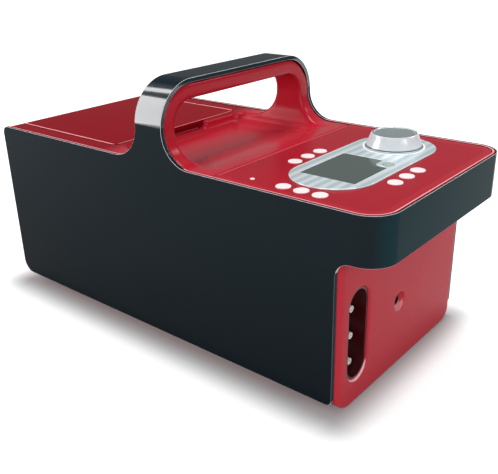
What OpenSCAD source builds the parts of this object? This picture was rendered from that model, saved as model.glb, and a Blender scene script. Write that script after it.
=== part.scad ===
// Portable hot and cold therapy machine: ice box, pumps and control deck under an arched handle.
// X runs along the length with the control end at +X, Y across, Z up. The origin is under the
// middle of the machine, on the surface it stands on. All sizes are millimetres.

/* [Overall] */
// Length from the rear edge of the side panels to the front band
body_l = 413; // [390:1:440]
// Width over the two side panels
body_w = 197; // [185:1:215]
// Height of the side panels' top edge
deck_z = 164.5; // [158:0.5:180]
// Height of the handle's top
handle_top = 226.5; // [218:0.5:245]
// Height of the rubber feet
foot_h = 1.5; // [1:0.5:4]

/* [Black skin] */
// Wall of the skin
skin_t = 3.5; // [2.5:0.1:4]
// How far the red housing reaches below the side panels
belly_drop = 10; // [6:0.5:12]
// Corner radius of the front band, seen from above
band_r = 22; // [18:1:28]
// Height of the front band
band_h = 36.5; // [30:0.5:42]
// How far the side panels' front edge lies behind the band
panel_setback = 34; // [26:1:44]
// Radius between side panel and band
notch_r = 11.5; // [6:0.5:12]
// Radius of the panels' upper rear corner
rear_top_r = 7; // [3:1:15]
// Radius of the panels' lower rear corner
rear_low_r = 12; // [4:1:20]
// Radius of the panels' lower front corner
toe_r = 5; // [2:1:8]
// Gap between the skin and the red mouldings
skin_gap = 0.6; // [0.3:0.1:1]

/* [Handle] */
// Width of the strap along the machine
strap_w = 29; // [25:1:34]
// Thickness of the handle, strap and lining together
handle_t = 16.5; // [13:0.5:19]
// Outer corner radius of the arch
arch_r = 35.6; // [30:0.2:38]
// Radius at the foot of the leg, front side
leg_front_r = 26; // [16:1:26]
// Radius at the foot of the leg, rear side
leg_rear_r = 28; // [16:1:28]

/* [Top cover] */
// Position of the seam in front of the valley, from the handle's middle
seam_x = 62; // [60:0.5:66]
// Wall of the red mouldings
wall = 3; // [2.5:0.1:4]
// How far the red deck lies below the skin's top edge
deck_drop = 0.6; // [0.4:0.1:1.5]
// Depth of the valley under the handle
valley_depth = 9.9; // [6:0.1:12]
// Distance from the handle's middle to the valley's front edge
valley_front = 58; // [50:1:60]
// Half width of the valley's flat floor
valley_half = 60; // [50:1:62]
// Thickness of the ridge between lid and valley
ridge_t = 6; // [4:0.5:8]
// Width of the finger scoop in the ridge
scoop_w = 58; // [40:1:70]
// Depth of the finger scoop
scoop_depth = 6.7; // [5:0.1:7.5]
// Radius of the scoop's two lower corners
scoop_r = 5; // [3:0.5:5]
// Radius of the valley's two rear corners, seen from above
valley_r = 20; // [10:1:22]

/* [Lid and ice box] */
// How far the lid reaches in front of the ice box opening
lid_reach = 12; // [11:0.5:13]
// How far the lid reaches beside the ice box opening
lid_side = 9; // [9:0.5:11]
// Height of the lid's edge
lid_h = 10.4; // [9:0.1:12]
// Wall of the lid
lid_t = 2.5; // [2:0.1:3]
// Gap round the lid
lid_gap = 0.6; // [0.4:0.1:1.2]
// Corner radius of the lid's front corners
lid_r = 7; // [6:1:16]
// Radius of the lid's upper rear edge
lid_rear_r = 5; // [1:0.5:6]
// Radius of the hinge barrel
barrel_r = 3; // [2.8:0.1:3.5]
// Radius of the hinge pin
pin_r = 1.5; // [1.2:0.1:1.7]
// Running clearance of pins and shafts in their bores, on the radius
run_gap = 0.05; // [0.02:0.01:0.1]
// Length of each fixed hinge knuckle
knuckle_l = 12; // [8:1:16]
// Distance from the middle to each fixed knuckle
knuckle_y = 51; // [35:1:58]
// Height of the lid gasket
gasket_h = 1.5; // [1:0.1:2]
// Width of the lid gasket
gasket_w = 3; // [2:0.5:4]
// Length of the ice box opening
mouth_l = 116; // [100:1:118]
// Width of the ice box opening
mouth_w = 140; // [120:1:142]
// Wall of the ice box
box_t = 2.5; // [2:0.1:3]
// Height of the ice box floor above the tub floor
box_lift = 18; // [14:1:19]
// Corner radius of the ice box
box_r = 12; // [6:1:16]
// How far the ice box wall lies outside its opening
box_step = 3; // [2:0.5:4]
// Thickness of the insulation at the pump end
foam_t = 8; // [5:0.5:10]

/* [Front cover] */
// How far the front cover lies behind the band
front_setback = 31.5; // [30:0.5:36]
// Upright corner radius of the front cover
front_r = 6; // [4:0.5:12]
// Radius along the housing's lower edges
belly_r = 18; // [12:1:22]
// Depth of the front cover from front to joint with the tub
front_l = 40; // [37:1:46]
// Hose pocket: distance from the middle of the machine
port_y = 67.5; // [64:0.5:72]
// Hose pocket: height of its middle
port_z = 58.5; // [57:0.5:62]
// Hose pocket: radius of its round ends
port_r = 13.5; // [12.5:0.5:14.5]
// Hose pocket: overall height
port_h = 76; // [74:1:80]
// Hose pocket: depth
port_depth = 28; // [24:1:28]
// Hose nozzle radius
nozzle_r = 3.6; // [3:0.1:4]
// How far the middle hose nozzle lies below the pocket's middle
nozzle_drop = 6.5; // [2:0.5:6.5]
// Hose nozzle pitch
nozzle_pitch = 22.5; // [20:0.5:23]
// How far the nozzles stand out of the pocket floor
nozzle_l = 19; // [15:1:21]
// Power socket: distance from the middle of the machine
jack_y = 6.5; // [5:0.5:30]
// Power socket: height
jack_z = 59.5; // [45:0.5:75]
// Power socket: radius of its body
jack_r = 4.6; // [4:0.1:6]
// Power socket: radius of the dished mouth
dish_r = 7.5; // [6.5:0.1:9]

/* [Control deck] */
// Margin between the overlay and the deck's edge
overlay_margin = 6; // [4:0.5:10]
// Thickness of the overlay
overlay_t = 0.8; // [0.5:0.1:1]
// Corner radius of the overlay
overlay_r = 12; // [8:1:14]
// Distance of the display's middle from the front band
panel_back = 74; // [72:0.5:77]
// Width of the display bezel, whose two ends are half rounds
bezel_w = 67.5; // [66:0.5:70]
// How far the bezel reaches to the near side
bezel_reach = 72.5; // [70:0.5:73]
// Width of the bezel's rim on the deck
bezel_rim = 3; // [2:0.5:4]
// Height of the bezel above the deck
bezel_rise = 1; // [0.6:0.1:1.5]
// Display window along the machine
window_w = 47.5; // [44:0.5:48.5]
// Display window across the machine
window_l = 61; // [56:0.5:62]
// Distance of the window's middle from the middle of the machine
window_y = 19.5; // [17:0.5:21]
// Ledge that the window rests on
window_ledge = 1.5; // [1:0.1:2.5]
// Thickness of the window
window_t = 1.6; // [1:0.1:2]
// Notch in the window beside the grey key, along the machine
notch_w = 12; // [11.5:0.5:14]
// Notch in the window beside the grey key, across the machine
notch_l = 14.5; // [14:0.5:16]
// Distance of the knob from the middle of the machine
knob_y = 49; // [48:0.5:52]
// Knob radius at its base
knob_r = 23.3; // [21:0.1:24.5]
// Knob radius at its top
knob_top_r = 18.8; // [15:0.1:19.8]
// Knob height
knob_h = 11.8; // [9:0.1:15]
// Width of the clear ring round the knob
ring_w = 1.6; // [1:0.1:2.5]
// Encoder shaft radius
shaft_r = 3; // [2.5:0.1:3.5]
// Key radius
key_r = 5.7; // [5:0.1:6.2]
// Radius of the grey key beside the display
start_r = 4.6; // [4:0.1:4.8]
// How far the keys stand above the deck
key_rise = 0.5; // [0.3:0.1:0.8]
// Key travel
key_travel = 0.6; // [0.4:0.1:0.8]
// Gap round each key
key_gap = 0.25; // [0.15:0.05:0.4]
// Pitch of the keys in a row
key_pitch = 17.2; // [15:0.1:18.5]
// Pitch of the keys along the near edge
edge_pitch = 15.5; // [14:0.1:17]
// Distance of the near row of keys from the side of the machine
edge_key_in = 17.7; // [17.5:0.1:18.5]
// Distance of the key columns from the display's middle
column_out = 43.5; // [43:0.5:45]
// Distance of the key columns' middle from the middle of the machine
column_y = 11; // [0:0.5:12]
// Indicator lamp radius
lamp_r = 1.8; // [1.2:0.1:2.5]

/* [Inside] */
// Circuit board thickness
board_t = 1.6; // [1:0.1:2]
// Silicone tube outer radius
tube_r = 4.6; // [4.2:0.1:5]
// Tube bore radius, which is also the radius of the spigots
tube_bore = 3; // [2.4:0.1:3.2]
// Bend radius of the tubes
bend_r = 12; // [9:1:14]
// Water pump motor radius
pump_r = 17; // [14:0.5:20]
// Air pump radius
air_r = 15; // [12:0.5:18]
// Screw shank radius
screw_r = 1.5; // [1.2:0.1:1.8]
// Screw head radius
screw_head_r = 2.9; // [2.4:0.1:3.4]
// Foot radius
foot_r = 9; // [6:0.5:12]

/* [Hidden] */
$fn = 48;

// Outline of the machine
hl = body_l / 2;
hw = body_w / 2;
side_in = hw - skin_t;
red_hw = side_in - skin_gap;
panel_x = hl - panel_setback;
band_z = deck_z - band_h;
notch = min(notch_r, panel_setback - band_r);
hs = strap_w / 2;
ease = 1;
big_fn = 160;

// Red mouldings
top_z = deck_z - deck_drop;
plate_z = top_z - wall;
floor_z = foot_h;
panel_z = foot_h + belly_drop;
tub_floor = floor_z + wall;
rear_x = -hl + skin_gap;
rear_in = rear_x + wall;
red_in = red_hw - wall;
tub_in = side_in - wall;
joint_z = band_z + wall;
front_x = hl - front_setback;
joint_x = front_x - front_l;
deck_front = hl - skin_t - skin_gap;
deck_r = band_r - skin_t - skin_gap;
deck_rear = seam_x + skin_gap / 2;
cover_front = seam_x - skin_gap / 2;
low_in_r = max(rear_low_r - skin_gap - wall, 1);
belly_in = max(belly_r - wall, 1);

// Handle and valley
leg_in = hw - handle_t;
arch_in = max(arch_r - handle_t, 4);
grip_z = handle_top - handle_t;
valley_z = top_z - valley_depth;
valley_corner = leg_in - valley_half;
valley_flat = -12;
valley_run = valley_front - valley_flat;
valley_mid = valley_flat + valley_run / 2;
valley_steps = 12;

// Lid and hinge
lid_x0 = -hl + 2;
mouth_back = 12;
lid_x1 = lid_x0 + mouth_back + mouth_l + lid_reach;
lid_hw = mouth_w / 2 + lid_side;
seat_z = top_z - lid_h;
seat_t = wall;
ridge_x = lid_x1 + lid_gap + ridge_t;
ridge_r = 6;
scoop_cut = 4;
groove_depth = 1.2;
groove_h = 3.5;
hinge_x = lid_x0 + barrel_r;
hinge_z = seat_z + barrel_r + 0.4;
hinge_relief = 3.5;
rail_h = 9;
knuckle_gap = 0.4;
lid_knuckle_l = 9;
liner_t = 1.5;
liner_z = seat_z + gasket_h + 0.1;

// Ice box
box_mid = lid_x0 + mouth_back + mouth_l / 2;
box_x0 = box_mid - mouth_l / 2 - box_step;
box_x1 = box_mid + mouth_l / 2 + box_step;
box_hw = mouth_w / 2 + box_step;
box_z = tub_floor + box_lift;
box_top = seat_z - seat_t;
foam_x1 = box_x1 + box_t + foam_t;
foam_hw = box_hw + box_t + foam_t;
foam_clear = 0.2;
rail_x1 = box_x0 - box_t - foam_clear;

// Screws and bosses
column_y0 = tub_in - 5;
column_r = 5;
columns = [-186, foam_x1 + 17, deck_rear + column_r + 0.7];
web_t = 8;
head_h = 2.5;
pilot_r = screw_r + run_gap;
pass_r = screw_r + 0.2;
bore_r = screw_head_r + 0.3;
screw_top = joint_z + 14;
peg_r = 3;
peg_x = [-150, 0, 120];
peg_z = 74;
peg_l = 4;
foot_in = 1;
foot_x = 145;
foot_y = 64;

// Controls
mid_x = hl - panel_back;
bezel_half = bezel_w / 2;
bezel_top = top_z + bezel_rise;
body_gap = 0.2;
window_sink = 0.3;
window_z = bezel_top - window_sink - window_t;
flange_over = 0.8;
flange_t = 1.2;
rest_gap = 0.05;
mat_t = 1;
mat_z = plate_z - rest_gap - flange_t - key_travel - 0.1 - mat_t;
board_z = mat_z - board_t;
board_x0 = 52;
board_x1 = 54;
board_y0 = -hw + 11;
board_y1 = 72;
start_x = 20;
start_y = 4;
start_corner = 5;
row_y = -(hw - edge_key_in);
post_x = 50;
post_y = 60;
post_r = 3;
encoder_w = 14;
encoder_h = 7;
bush_r = shaft_r + 1.4;
ring_gap = 0.4;
ring_h = 0.6;
knob_z = bezel_top + 0.4;
knob_wall = 2.4;
hub_r = shaft_r + 3;
shelf_x = hl - 14;
shelf_y = 62;
shelf_post_r = 4.5;
shelf_seat = band_z + head_h + 0.5;
shelf_top = shelf_seat + wall;

// Works
spigot_r = tube_bore - run_gap;
spigot_bore = spigot_r - 1.2;
pocket_t = 3;
pocket_wall = 1.8;
nozzle_z = port_z - nozzle_drop;
low_z = nozzle_z - nozzle_pitch;
high_z = nozzle_z + nozzle_pitch;
nozzle_in = 4;
nozzle_y = -(port_y - nozzle_in);
low_end = port_z - port_h / 2 + port_r;
end_reach = norm([port_y + nozzle_y, min(low_z - low_end, 0)]);
collar_r = min(nozzle_r + 1.4, port_r - pocket_wall - end_reach - 0.2);
pocket_x = front_x - port_depth;
tube_end = pocket_x - pocket_t - 1;
spigot_end = tube_end - 12;
pump_y = -20;
head_x = foam_x1 + 23;
head_l = 16;
head_r = min(pump_r + 2, low_z - tub_floor - 0.3);
motor_r = min(pump_r, head_r - 1.5);
motor_l = 50;
turn_y = nozzle_y + bend_r;
supply_x = head_x + head_l / 2;
suction_x = foam_x1 + 1;
valve_x = joint_x - 54.5;
valve_l = 24;
valve_y = -44;
valve_w = 26;
valve_h = 60;
air_x = valve_x - 10 - air_r;
return_y = nozzle_y + 2 * bend_r;
return_x = 2;
standoff_h = 8;
main_x0 = 0;
main_x1 = joint_x - 21.5;
main_y0 = 12;
main_y1 = 78;
main_z = tub_floor + standoff_h;

// An XZ drawing carried across the machine
module across(y0, y1) {
    translate([0, y1, 0]) rotate([90, 0, 0]) linear_extrude(height = y1 - y0) children();
}

// A YZ drawing carried along the machine
module along(x0, x1) {
    translate([x0, 0, 0]) rotate([90, 0, 90]) linear_extrude(height = x1 - x0) children();
}

// A plan drawing between two heights
module upright(z0, z1) {
    translate([0, 0, z0]) linear_extrude(height = z1 - z0) children();
}

module rod_x(x0, x1, r) {
    translate([x0, 0, 0]) rotate([0, 90, 0]) cylinder(h = x1 - x0, r = r);
}

module rod_y(y0, y1, r) {
    translate([0, y0, 0]) rotate([-90, 0, 0]) cylinder(h = y1 - y0, r = r);
}

module box(x0, x1, y0, y1, z0, z1) {
    translate([x0, y0, z0]) cube([x1 - x0, y1 - y0, z1 - z0]);
}

// Rectangle with four round corners
module round_rect(x0, x1, y0, y1, r) {
    translate([x0 + r, y0]) square([x1 - x0 - 2 * r, y1 - y0]);
    translate([x0, y0 + r]) square([x1 - x0, y1 - y0 - 2 * r]);
    for (x = [x0 + r, x1 - r], y = [y0 + r, y1 - r]) translate([x, y]) circle(r = r);
}

// Rectangle with only its two +X corners round
module round_front(x0, x1, half, r) {
    intersection() {
        translate([x0, -half]) square([x1 - x0, 2 * half]);
        union() {
            translate([x0 - ease, -half]) square([x1 - r - x0 + ease, 2 * half]);
            translate([x0 - ease, -half + r]) square([x1 - x0 + ease, 2 * (half - r)]);
            for (s = [-1, 1]) translate([x1 - r, s * (half - r)]) circle(r = r);
        }
    }
}

// The waste outside a round corner; sx and sy point out of the corner
module corner_waste(x, y, sx, sy, r) {
    translate([x, y]) difference() {
        translate([sx > 0 ? -r : -ease, sy > 0 ? -r : -ease]) square(r + ease);
        translate([-sx * r, -sy * r]) circle(r = r);
    }
}

// The fill of an inner corner; sx and sy point from the corner into the open
module corner_fill(x, y, sx, sy, r) {
    translate([x, y]) difference() {
        translate([sx > 0 ? -ease : -r, sy > 0 ? -ease : -r]) square(r + ease);
        translate([sx * r, sy * r]) circle(r = r);
    }
}

// Slot with round ends, standing upright in a YZ drawing
module upright_slot(r, h) {
    translate([-r, -(h / 2 - r)]) square([2 * r, h - 2 * r]);
    for (s = [-1, 1]) translate([0, s * (h / 2 - r)]) circle(r = r);
}

// Cross-section with round shoulders, open at the bottom
module arch(half, top, r, base) {
    translate([-half, base]) square([2 * half, top - r - base]);
    translate([-half + r, base]) square([2 * (half - r), top - base]);
    for (s = [-1, 1]) translate([s * (half - r), top - r]) circle(r = r);
}

// ---- black skin ----

// Foot of the handle's leg, front and rear, as fills in the side view
module leg_feet(edge, level, front, rear) {
    corner_fill(edge, level, 1, 1, front);
    corner_fill(-edge, level, -1, 1, rear);
}

module skin_side() {
    difference() {
        union() {
            translate([-hl, panel_z]) square([panel_x + hl, deck_z - panel_z]);
            translate([panel_x - ease, band_z]) square([hl - band_r - panel_x + ease, band_h]);
            corner_fill(panel_x, band_z, 1, -1, notch);
            translate([-hs, deck_z - ease]) square([strap_w, handle_top - deck_z + ease]);
            leg_feet(hs, deck_z, leg_front_r, leg_rear_r);
        }
        corner_waste(-hl, deck_z, -1, 1, rear_top_r);
        corner_waste(-hl, panel_z, -1, -1, rear_low_r);
        corner_waste(panel_x, panel_z, 1, -1, toe_r);
    }
}

module outer_skin() {
    color([0.13, 0.16, 0.17]) union() {
        intersection() {
            along(-hl, hl - band_r) difference() {
                arch(hw, handle_top, arch_r, panel_z);
                arch(side_in, handle_top - skin_t, arch_r - skin_t, panel_z - ease);
            }
            across(-hw, hw) skin_side();
        }
        upright(band_z, deck_z) difference() {
            round_front(hl - band_r - ease, hl, hw, band_r);
            round_front(hl - band_r - 2 * ease, hl - skin_t, side_in, band_r - skin_t);
        }
        for (x = peg_x, s = [-1, 1]) {
            translate([x, s * side_in, peg_z]) rod_y(s > 0 ? -peg_l : -ease, s > 0 ? ease : peg_l, peg_r);
        }
    }
}

// ---- red mouldings ----

module cover_side() {
    inner = hs - skin_gap / 2;
    union() {
        difference() {
            translate([rear_x, joint_z]) square([cover_front - rear_x, top_z - joint_z]);
            corner_waste(rear_x, top_z, -1, 1, max(rear_top_r - skin_gap, 1));
        }
        translate([-inner, top_z - ease]) square([2 * inner, handle_top - skin_t - skin_gap - top_z + ease]);
        leg_feet(inner, top_z, leg_front_r, leg_rear_r);
    }
}

// Side view of the ground under the handle: ridge, flat, then a soft rise to the deck
module valley_ground() {
    base = joint_z;
    translate([rear_x, base]) square([ridge_x - rear_x, top_z - base]);
    translate([ridge_x - ease, base]) square([cover_front + 2 * ease - ridge_x, valley_z - base]);
    corner_fill(ridge_x, valley_z, 1, 1, ridge_r);
    polygon(concat(
        [[valley_flat, base]],
        [for (i = [0:valley_steps]) [
            valley_flat + valley_run * i / valley_steps,
            valley_z + valley_depth * (1 - cos(180 * i / valley_steps)) / 2
        ]],
        [[cover_front + 2 * ease, top_z], [cover_front + 2 * ease, base]]
    ));
}

// The air between the handle's legs, down to the valley
module handle_gap() {
    intersection() {
        along(ridge_x, cover_front + ease) union() {
            translate([-leg_in, valley_z + valley_corner]) {
                square([2 * leg_in, grip_z - arch_in - valley_z - valley_corner]);
            }
            translate([-valley_half, valley_z - ease]) square([2 * valley_half, grip_z - valley_z + ease]);
            for (s = [-1, 1]) {
                translate([s * valley_half, valley_z + valley_corner]) circle(r = valley_corner);
                translate([s * (leg_in - arch_in), grip_z - arch_in]) circle(r = arch_in);
            }
            translate([-leg_in + arch_in, grip_z - ease]) square([2 * (leg_in - arch_in), ease]);
            translate([-leg_in + arch_in, grip_z - arch_in]) square([2 * (leg_in - arch_in), arch_in]);
        }
        across(-hw, hw) difference() {
            translate([ridge_x, joint_z]) square([cover_front + ease - ridge_x, grip_z + ease - joint_z]);
            valley_ground();
        }
        upright(joint_z, grip_z + ease) mirror([1, 0]) {
            round_front(-cover_front - 2 * ease, -ridge_x, leg_in + ease, valley_r);
        }
    }
}

module lid_plan(grow) {
    round_front(lid_x0 - grow, lid_x1 + grow, lid_hw + grow, lid_r + grow);
}

module finger_scoop() {
    along(lid_x1 - scoop_cut, ridge_x + ease) {
        round_rect(-scoop_w / 2, scoop_w / 2, top_z - scoop_depth, top_z + 2 * scoop_r, scoop_r);
    }
}

// The places along the hinge held by the cover; grow widens them for clearance
module fixed_zones(grow, z0, z1) {
    for (s = [-1, 1]) {
        box(-hl - ease, hinge_x + barrel_r + grow, s * knuckle_y - knuckle_l / 2 - grow,
            s * knuckle_y + knuckle_l / 2 + grow, z0, z1);
    }
}

module top_cover() {
    color([0.7, 0.1, 0.16]) difference() {
        union() {
            intersection() {
                along(rear_x, cover_front) {
                    arch(red_hw, handle_top - skin_t - skin_gap, arch_r - skin_t - skin_gap, joint_z);
                }
                across(-hw, hw) cover_side();
            }
        }
        handle_gap();
        // recess for the lid, open to the rear
        upright(seat_z, top_z + ease) {
            round_front(-hl - ease, lid_x1 + lid_gap, lid_hw + lid_gap, lid_r + lid_gap);
        }
        finger_scoop();
        // mouth of the ice box
        upright(joint_z, seat_z + ease) {
            round_rect(box_mid - mouth_l / 2, box_mid + mouth_l / 2, -mouth_w / 2, mouth_w / 2, box_r);
        }
        // hollow below, leaving a rail under the hinge
        difference() {
            box(rear_in, cover_front + ease, -red_in, red_in, joint_z - ease, box_top);
            box(rear_in - ease, rail_x1, -red_in - ease, red_in + ease, seat_z - rail_h, box_top + ease);
            cover_bosses();
        }
        box(valley_mid, cover_front + ease, -red_in, red_in, joint_z, valley_z + valley_depth / 2 - wall);
        // room for the lid's rear edge to swing down
        difference() {
            box(-hl - ease, hinge_x, -lid_hw - lid_gap, lid_hw + lid_gap, seat_z - hinge_relief, seat_z + ease);
            fixed_zones(0, seat_z - rail_h, top_z);
        }
        for (x = [columns[0], columns[1]], s = [-1, 1]) {
            translate([x, s * column_y0, joint_z - ease]) cylinder(h = screw_top + 1 + ease - joint_z, r = pilot_r);
        }
    }
    color([0.7, 0.1, 0.16]) difference() {
        for (s = [-1, 1]) translate([hinge_x, s * knuckle_y, 0]) {
            box(-barrel_r, barrel_r, -knuckle_l / 2, knuckle_l / 2, seat_z - ease, hinge_z);
            translate([0, 0, hinge_z]) rod_y(-knuckle_l / 2, knuckle_l / 2, barrel_r);
        }
        translate([hinge_x, 0, hinge_z]) rod_y(-hw, hw, pin_r + run_gap);
    }
}

module cover_bosses() {
    for (x = [columns[0], columns[1]], s = [-1, 1]) {
        translate([x, s * column_y0, joint_z]) cylinder(h = box_top - joint_z + ease, r = column_r);
        box(x - column_r, x + column_r, s > 0 ? column_y0 : -red_in - ease, s > 0 ? red_in + ease : -column_y0,
            joint_z, box_top + ease);
    }
}

module key_holes(grow, z0, z1) {
    for (p = key_spots) translate([mid_x + p[0], p[1], z0]) cylinder(h = z1 - z0, r = key_r + grow);
}

key_spots = [
    [-edge_pitch, row_y], [0, row_y], [edge_pitch, row_y],
    [-column_out, -column_y - key_pitch], [-column_out, -column_y], [-column_out, -column_y + key_pitch],
    [column_out, -column_y - key_pitch], [column_out, -column_y], [column_out, -column_y + key_pitch]
];

module bezel_plan(inset) {
    half = bezel_half - inset;
    near = bezel_half - bezel_reach;
    translate([mid_x, 0]) {
        translate([-half, near]) square([2 * half, knob_y - near]);
        for (y = [near, knob_y]) translate([0, y]) circle(r = half, $fn = big_fn);
    }
}

module window_plan(inset) {
    translate([mid_x, -window_y]) difference() {
        translate([-window_w / 2 + inset, -window_l / 2 + inset]) {
            square([window_w - 2 * inset, window_l - 2 * inset]);
        }
        translate([window_w / 2 - notch_w - inset, window_l / 2 - notch_l - inset]) difference() {
            square([notch_w * 2, notch_l * 2]);
            difference() {
                translate([-ease, -ease]) square(start_corner + ease);
                translate([start_corner, start_corner]) circle(r = start_corner);
            }
        }
    }
}

module overlay_plan() {
    round_front(deck_rear, deck_front - overlay_margin, red_hw - overlay_margin, overlay_r);
}

module lamp_hole(grow, z0, z1) {
    translate([mid_x - column_out, row_y, z0]) cylinder(h = z1 - z0, r = lamp_r + grow);
}

module control_deck() {
    color([0.7, 0.1, 0.16]) difference() {
        union() {
            difference() {
                upright(joint_z, top_z) round_front(deck_rear, deck_front, red_hw, deck_r);
                upright(joint_z - ease, plate_z) {
                    round_front(deck_rear - ease, deck_front - wall, red_in, deck_r - wall);
                }
            }
            // posts for the key board, the tub and the front cover
            for (x = [-post_x, post_x], y = [-post_y, post_y]) {
                translate([mid_x + x, y, mat_z]) cylinder(h = plate_z - mat_z + ease, r = post_r);
            }
            for (s = [-1, 1]) {
                translate([columns[2], s * column_y0, joint_z]) {
                    cylinder(h = plate_z - joint_z + ease, r = column_r);
                }
                box(columns[2] - column_r, columns[2] + column_r, s > 0 ? column_y0 : -red_in - ease,
                    s > 0 ? red_in + ease : -column_y0, joint_z, plate_z + ease);
                translate([shelf_x, s * shelf_y, shelf_top]) {
                    cylinder(h = plate_z - shelf_top + ease, r = shelf_post_r);
                }
            }
        }
        upright(top_z - overlay_t, top_z + ease) overlay_plan();
        upright(plate_z - ease, top_z) bezel_plan(bezel_rim);
        key_holes(key_gap, plate_z - ease, top_z);
        lamp_hole(key_gap, plate_z - ease, top_z);
        for (x = [-post_x, post_x], y = [-post_y, post_y]) {
            translate([mid_x + x, y, mat_z - ease]) cylinder(h = plate_z - mat_z + ease, r = pilot_r);
        }
        for (s = [-1, 1]) {
            translate([columns[2], s * column_y0, joint_z - ease]) {
                cylinder(h = screw_top + 1 + ease - joint_z, r = pilot_r);
            }
            translate([shelf_x, s * shelf_y, shelf_top - ease]) cylinder(h = 12 + ease, r = pilot_r);
        }
    }
}

// Side view of the tub; inset gives its inside
module tub_side(x0, z0, r, x1, z1) {
    difference() {
        translate([x0, z0]) square([x1 - x0, z1 - z0]);
        corner_waste(x0, z0, -1, -1, r);
    }
}

// Cross-section with the two lower edges round
module belly(half, z0, z1, r) {
    translate([-half, z0 + r]) square([2 * half, z1 - z0 - r]);
    translate([-half + r, z0]) square([2 * (half - r), r + ease]);
    for (s = [-1, 1]) translate([s * (half - r), z0 + r]) circle(r = r);
}

module tub_outside() {
    intersection() {
        along(rear_x, joint_x) belly(side_in, floor_z, joint_z, belly_r);
        across(-hw, hw) tub_side(rear_x, floor_z, max(rear_low_r - skin_gap, 1), joint_x, joint_z);
    }
}

module tub_inside() {
    intersection() {
        along(rear_in, joint_x + ease) belly(tub_in, tub_floor, joint_z + ease, belly_in);
        across(-hw, hw) tub_side(rear_in, tub_floor, low_in_r, joint_x + ease, joint_z + ease);
    }
}

module standoffs(h, r) {
    for (x = [main_x0 + 5, main_x1 - 5], y = [main_y0 + 5, main_y1 - 5]) {
        translate([x, y, tub_floor - ease]) cylinder(h = h + ease, r = r);
    }
}

module tub() {
    color([0.62, 0.08, 0.14]) difference() {
        union() {
            difference() {
                tub_outside();
                tub_inside();
            }
            intersection() {
                tub_outside();
                union() for (x = columns, s = [-1, 1]) {
                    translate([x, s * column_y0, floor_z]) cylinder(h = joint_z - floor_z, r = column_r);
                    box(x - column_r, x + column_r, s > 0 ? column_y0 : -tub_in - ease,
                        s > 0 ? tub_in + ease : -column_y0, floor_z, joint_z);
                }
            }
            standoffs(standoff_h, 3.5);
        }
        for (x = columns, s = [-1, 1]) translate([x, s * column_y0, 0]) {
            cylinder(h = joint_z - web_t, r = bore_r);
            cylinder(h = joint_z + ease, r = pass_r);
        }
        for (x = peg_x, s = [-1, 1]) {
            translate([x, s * hw, peg_z]) rod_y(s > 0 ? -skin_t - wall - ease : -ease,
                s > 0 ? ease : skin_t + wall + ease, peg_r + run_gap);
        }
        for (x = [-foot_x, foot_x - 40], s = [-1, 1]) {
            translate([x, s * foot_y, 0]) cylinder(h = floor_z + foot_in, r = foot_r);
        }
        for (x = [main_x0 + 5, main_x1 - 5], y = [main_y0 + 5, main_y1 - 5]) {
            translate([x, y, tub_floor]) cylinder(h = standoff_h + ease, r = pilot_r);
        }
    }
}

module front_shape(x0, x1, half, r, z0, z1, rb) {
    intersection() {
        upright(z0, z1) round_front(x0, x1, half, r);
        along(x0, x1) belly(half, z0, z1 + ease, rb);
    }
}

module front_outside() {
    front_shape(joint_x, front_x, side_in, front_r, floor_z, joint_z, belly_r);
}

module pocket_slot(x0, x1, inset) {
    translate([0, -port_y, port_z]) along(x0, x1) upright_slot(port_r - inset, port_h - 2 * inset);
}

module front_cover() {
    color([0.66, 0.12, 0.18]) difference() {
        union() {
            difference() {
                front_outside();
                front_shape(joint_x - ease, front_x - wall, tub_in, front_r - wall, tub_floor,
                    joint_z + ease, belly_in);
            }
            upright(band_z, joint_z) difference() {
                round_front(joint_x, deck_front, red_hw, deck_r);
                round_front(joint_x - ease, front_x - wall, tub_in, front_r - wall);
            }
            for (s = [-1, 1]) {
                translate([shelf_x, s * shelf_y, band_z]) cylinder(h = shelf_top - band_z, r = shelf_post_r);
            }
            // thicker wall behind the power socket and the hose pocket
            intersection() {
                front_outside();
                translate([0, -jack_y, jack_z]) rod_x(front_x - wall - 4, front_x - 1, dish_r + 3);
            }
            intersection() {
                front_outside();
                difference() {
                    pocket_slot(front_x - 12, front_x, -3);
                    pocket_slot(front_x - 13, front_x + ease, 0);
                }
            }
        }
        pocket_slot(joint_x, front_x + ease, 0);
        translate([0, -jack_y, jack_z]) {
            rod_x(front_x - 2.5, front_x + ease, dish_r);
            rod_x(front_x - wall - 5, front_x, jack_r + run_gap);
        }
        for (s = [-1, 1]) translate([shelf_x, s * shelf_y, band_z - ease]) {
            cylinder(h = shelf_seat - band_z + ease, r = bore_r);
            cylinder(h = shelf_top - band_z + 2 * ease, r = pass_r);
        }
    }
}

module box_body(grow, z0, z1) {
    upright(z0, z1) {
        round_rect(box_x0 - grow, box_x1 + grow, -box_hw - grow, box_hw + grow, box_r + box_step + grow);
    }
}

module ice_box() {
    color([0.86, 0.88, 0.9]) difference() {
        union() {
            box_body(box_t, box_z, box_top);
            translate([0, pump_y, low_z]) rod_x(box_x1, foam_x1 + 11, spigot_r);
            translate([0, return_y, high_z]) rod_x(box_x1, foam_x1 + 11, spigot_r);
        }
        box_body(0, box_z + box_t, box_top + ease);
        translate([0, pump_y, low_z]) rod_x(box_x1 - ease, foam_x1 + 12, spigot_bore);
        translate([0, return_y, high_z]) rod_x(box_x1 - ease, foam_x1 + 12, spigot_bore);
    }
}

module foam_jacket() {
    color([0.93, 0.92, 0.88]) difference() {
        intersection() {
            tub_inside();
            box(rear_in, foam_x1, -foam_hw + foam_t - 2.5, foam_hw - foam_t + 2.5, tub_floor, joint_z);
        }
        box_body(box_t + foam_clear, box_z, joint_z + ease);
        translate([0, pump_y, low_z]) rod_x(box_x1, foam_x1 + ease, spigot_r + 0.5);
        translate([0, return_y, high_z]) rod_x(box_x1, foam_x1 + ease, spigot_r + 0.5);
    }
}

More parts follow.
